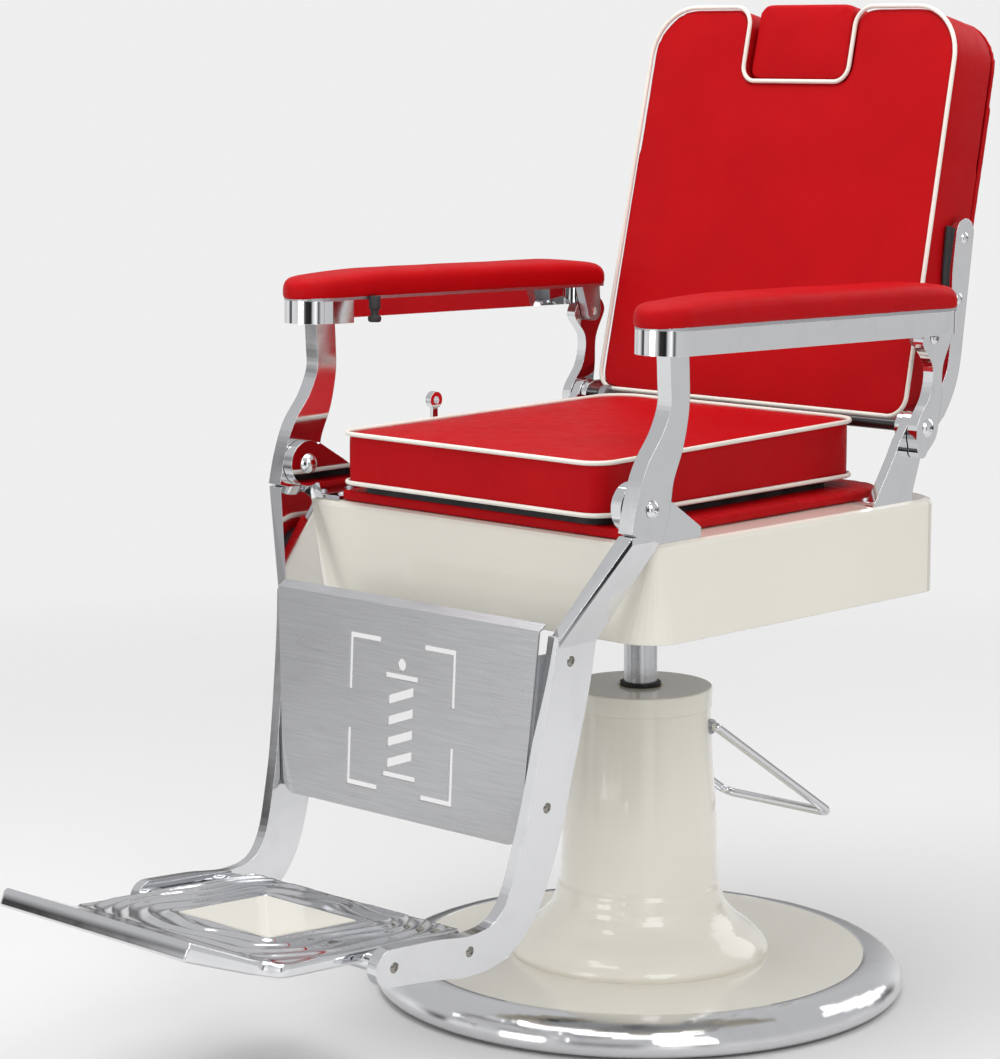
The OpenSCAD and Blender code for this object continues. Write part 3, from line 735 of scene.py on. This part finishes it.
def arm_stud(side, name):
    """Black headed stud under the inner front of an armrest."""
    # Radius and height of each ring, in millimetres, from the band down.
    profile = [(0.1, 37), (7, 37), (7, 22), (5, 20), (5, 14), (8, 12.5), (8, 8), (6.5, 6), (0.1, 6)]
    x_mid, y_mid, turns = side * 236 * MM, -408 * MM, 28
    points = [Vector((x_mid + r * MM * math.cos(2 * math.pi * k / turns),
                      y_mid + r * MM * math.sin(2 * math.pi * k / turns), z * MM))
              for r, z in profile for k in range(turns)]
    stud = mesh_object(name, points, stacked_faces(len(profile), turns), black_rubber)
    bevelled(stud, 0.7 * MM, 2)
    place(stud, arm_frame())
    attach(stud, arm_body(side))


# ---- Footrest ----

INSET_HALF = 72.3 * MM
INSET_Y = (-667.2 * MM, -542.8 * MM)
INSET_SINK = 4.2 * MM
# The plate's top line in the y-z plane: its rear edge, and where the flap begins.
PLATE_REAR = Vector((-478, 197)) * MM
PLATE_BEND = Vector((-739, 211.5)) * MM
PLATE_HALF = 165 * MM
PLATE_THICK = 15 * MM
FLAP_HALF = 149 * MM
FLAP_LENGTH = 110 * MM
FLAP_RISE = math.radians(23)
FLAP_LIP = 5.5 * MM
BEND_R = 24 * MM
EDGE_R = 3 * MM
# The ornament's ridges, and the sizes of the slow waves, the small ripples and the fan that bend them.
RIDGE_PITCH = 12 * MM
RIDGE_HEIGHT = 1.8 * MM
WAVE_SIZE = 75 * MM
RIPPLE_SIZE = (28 * MM, 35 * MM)
FAN_SIZE = 70 * MM


def relief(x, y):
    """Height of the cast ornament: wavy ridges that run round the inset and die out at the plate's rim."""
    dx = max(abs(x) - INSET_HALF, 0.0)
    dy = max(INSET_Y[0] - y, y - INSET_Y[1], 0.0)
    away = math.hypot(dx, dy)
    rim = min(PLATE_HALF - abs(x), y - PLATE_BEND.x, PLATE_REAR.x - y)
    wave = noise.noise(Vector((x / WAVE_SIZE, y / WAVE_SIZE, 3.1)))
    ripple = noise.noise(Vector((x / RIPPLE_SIZE[0], y / RIPPLE_SIZE[1], 8.7)))
    phase = away / RIDGE_PITCH + 1.9 * wave + 0.22 * ripple + abs(x) / FAN_SIZE
    ridges = 1 - 2 * abs(math.sin(phase * math.pi / 2)) ** 1.3
    fade = min(1.0, max(0.0, rim - 1 * MM) / (5 * MM)) * min(1.0, away / (6 * MM))
    border = math.exp(-((away - 3 * MM) / (2 * MM)) ** 2) * 0.8 * MM
    return RIDGE_HEIGHT * ridges * fade + border * min(1.0, max(0.0, rim) / (8 * MM))


def footrest_top(s):
    """Point and normal of the top line at distance s from the rear, softly bent where the flap begins."""
    slope = (PLATE_BEND - PLATE_REAR).normalized()
    lift = Vector((-math.cos(FLAP_RISE), math.sin(FLAP_RISE)))
    t = s - (PLATE_BEND - PLATE_REAR).length
    if t <= -BEND_R:
        p, d = PLATE_REAR + slope * s, slope
    elif t >= BEND_R:
        p, d = PLATE_BEND + lift * t, lift
    else:
        k = (t + BEND_R) / (2 * BEND_R)
        a, c = PLATE_BEND - slope * BEND_R, PLATE_BEND + lift * BEND_R
        p = a * (1 - k) ** 2 + PLATE_BEND * 2 * k * (1 - k) + c * k * k
        d = ((PLATE_BEND - a) * (1 - k) + (c - PLATE_BEND) * k).normalized()
    return p, Vector((d.y, -d.x))


def footrest_plate():
    """The plate with its ornament and the flap in front of it, as one grid above and one below."""
    length = (PLATE_BEND - PLATE_REAR).length
    total = length + FLAP_LENGTH
    columns, rows = 220, 234
    top, bottom = [], []
    for i in range(rows + 1):
        s = total * i / rows
        p, n = footrest_top(s)
        step = min(1.0, max(0.0, (s - length + 12 * MM) / (24 * MM)))
        half = PLATE_HALF + (FLAP_HALF - PLATE_HALF) * step * step * (3 - 2 * step)
        lip = FLAP_LIP * min(1.0, max(0.0, (s - length) / FLAP_LENGTH))
        for k in range(columns + 1):
            x = half * (2 * k / columns - 1)
            inner = min(half - abs(x), s, total - s)
            drop = EDGE_R - math.sqrt(max(0.0, EDGE_R ** 2 - max(0.0, EDGE_R - inner) ** 2))
            height = -drop
            if s < length:
                height += relief(x, p.x)
                if abs(x) < INSET_HALF and INSET_Y[0] < p.x < INSET_Y[1]:
                    height = -INSET_SINK
            q = p + n * height
            top.append(Vector((x, q.x, q.y)))
            q = p - n * (PLATE_THICK - drop + lip)
            bottom.append(Vector((x, q.x, q.y)))
    count = columns + 1
    below = len(top)
    faces = []
    for i in range(rows):
        for k in range(columns):
            a, b = i * count + k, i * count + k + 1
            c, d = a + count, b + count
            faces.append((a, b, d, c))
            faces.append((below + c, below + d, below + b, below + a))
    for i in range(rows):
        for k in (0, columns):
            a, c = i * count + k, (i + 1) * count + k
            faces.append((a, c, below + c, below + a))
    for i in (0, rows):
        for k in range(columns):
            a = i * count + k
            faces.append((a, a + 1, below + a + 1, below + a))
    plate = mesh_object("footrest_casting", top + bottom, faces, casting)
    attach(plate, "leg_frame")
    return plate


def footrest_rib(name, y, z):
    """One flattened bar across the plate's underside, between the legs."""
    rib_half, half_y, half_z, sides = 182 * MM, 13 * MM, 10 * MM, 32
    ring = [(y + half_y * math.copysign(abs(math.cos(a)) ** 0.6, math.cos(a)),
             z + half_z * math.copysign(abs(math.sin(a)) ** 0.6, math.sin(a)))
            for a in (2 * math.pi * k / sides for k in range(sides))]
    points = [Vector((x, *p)) for x in (-rib_half, rib_half) for p in ring]
    rib = mesh_object(name, points, stacked_faces(2, sides), casting)
    bevelled(rib, 1.5 * MM, 3)
    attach(rib, "leg_frame")


def footrest():
    plate = footrest_plate()
    footrest_rib("footrest_rib_1", -495 * MM, 185 * MM)
    footrest_rib("footrest_rib_2", -607 * MM, 190 * MM)
    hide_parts("footrest")


# ---- Camera, light and floor ----

def aimed(name, data, at, direction):
    """An object that looks along a direction."""
    made = bpy.data.objects.new(name, data)
    made.location = at
    made.rotation_mode = "QUATERNION"
    made.rotation_quaternion = Vector(direction).to_track_quat("-Z", "Y")
    scene.collection.objects.link(made)
    return made


def camera():
    """The photograph's viewpoint, fitted to the chair's outlines."""
    data = bpy.data.cameras.new("camera")
    data.sensor_width = 36
    data.lens = 106.9
    scene.camera = aimed("camera", data, (2.4486, -2.7946, 1.1333), (-0.6843, 0.7128, -0.1535))


def soft_light(name, at, target, size, power):
    data = bpy.data.lights.new(name, "AREA")
    data.shape = "RECTANGLE"
    data.size, data.size_y = size
    data.energy = power
    aimed(name, data, at, Vector(target) - Vector(at))


# Brightness of the room round the horizon, as share of a full turn and value.
ROOM_STRIPS = [
    (0.0, 0.75), (0.05, 0.95), (0.1, 0.06), (0.112, 0.05), (0.125, 0.9), (0.2, 0.8), (0.26, 0.75),
    (0.30, 0.04), (0.355, 0.02), (0.385, 0.9), (0.41, 1.3), (0.44, 0.12), (0.47, 0.7), (0.60, 0.66),
    (0.68, 0.64), (0.74, 0.1), (0.78, 0.85), (0.88, 0.15), (0.92, 0.8), (1.0, 0.75),
]
ROOM_TOP = (0.6, 0.6, 0.61)
# Sine of the height at which the strips begin to fade into the room's top, and where they end.
ROOM_FADE = (0.12, 0.45)


def studio():
    """A pale room: plain to the eye, with dark flags and brighter strips for the chrome to reflect."""
    world = bpy.data.worlds.new("studio")
    scene.world = world
    world.use_nodes = True
    tree = world.node_tree
    add, join = tree.nodes.new, tree.links.new
    coordinates = add("ShaderNodeTexCoord")
    split = add("ShaderNodeSeparateXYZ")
    join(coordinates.outputs["Generated"], split.inputs["Vector"])
    around = add("ShaderNodeTexGradient")
    around.gradient_type = "RADIAL"
    join(coordinates.outputs["Generated"], around.inputs["Vector"])
    strips = add("ShaderNodeValToRGB")
    strips.color_ramp.interpolation = "EASE"
    ramp = strips.color_ramp.elements
    for position, value in ROOM_STRIPS[1:-1]:
        ramp.new(position).color = (value, value, value, 1)
    for end in (0, -1):
        ramp[end].color = (ROOM_STRIPS[end][1],) * 3 + (1,)
    join(around.outputs["Fac"], strips.inputs["Fac"])
    height = add("ShaderNodeMapRange")
    height.inputs["From Min"].default_value, height.inputs["From Max"].default_value = ROOM_FADE
    join(split.outputs["Z"], height.inputs["Value"])
    dome = add("ShaderNodeMix")
    dome.data_type = "RGBA"
    dome.inputs[7].default_value = (*ROOM_TOP, 1)
    join(height.outputs["Result"], dome.inputs[0])
    join(strips.outputs["Color"], dome.inputs[6])
    room = tree.nodes["Background"]
    room.inputs["Strength"].default_value = 1.0
    join(dome.outputs[2], room.inputs["Color"])

    # What is seen directly is the plain backdrop. Everything else is lit by the room.
    seen = add("ShaderNodeLightPath")
    backdrop = add("ShaderNodeBackground")
    backdrop.inputs["Color"].default_value = (*BACKDROP, 1)
    pick = add("ShaderNodeMixShader")
    join(seen.outputs["Is Camera Ray"], pick.inputs["Fac"])
    join(room.outputs[0], pick.inputs[1])
    join(backdrop.outputs[0], pick.inputs[2])
    join(pick.outputs[0], tree.nodes["World Output"].inputs["Surface"])

    soft_light("key", (3.2, -1.6, 3.0), (0, -0.1, 0.6), (1.8, 2.2), 48)
    soft_light("top", (-0.3, -0.2, 3.4), (0, 0, 0.4), (2.6, 2.6), 74)
    soft_light("fill", (-0.5, -4.0, 1.3), (0, -0.3, 0.5), (1.4, 2.2), 34)
    soft_light("rim", (0.6, 3.4, 2.2), (0, 0.1, 0.7), (1.6, 2.0), 16)


def floor():
    """A round pale floor whose rim fades into the backdrop."""
    reach, fade_start, fade_end = 3.2, 1.1, 2.9
    turns = 90
    points = [Vector((0, 0, 0))]
    points += at_height(arc(0, 0, reach, 0, 360, turns)[:-1], 0)
    faces = [(0, i, 1 if i == turns else i + 1) for i in range(1, turns + 1)]
    s = Shader("pale_floor", roughness=0.6, specular_ior_level=0.2)
    s.set(base_color=s.mix(s.noise(1.5, 2), (0.72, 0.72, 0.717), (0.74, 0.74, 0.737)))
    distance = s.add("ShaderNodeVectorMath", operation="LENGTH")
    s.wire(s.place, distance.inputs[0])
    s.set(alpha=s.remap(distance.outputs["Value"], fade_start, fade_end, 1.0, 0.0))
    mesh_object("floor", points, faces, s.material)


camera()
studio()
floor()
dress_cad_nodes()
seat_cushion()
seat_board()
back_cushion()
back_panel()
headrest()
for arm_side, arm_node in ((1, "arm_pad_left"), (-1, "arm_pad_right")):
    arm_pad(arm_side, arm_node)
    arm_stud(arm_side, arm_node.replace("pad", "stud"))
footrest()
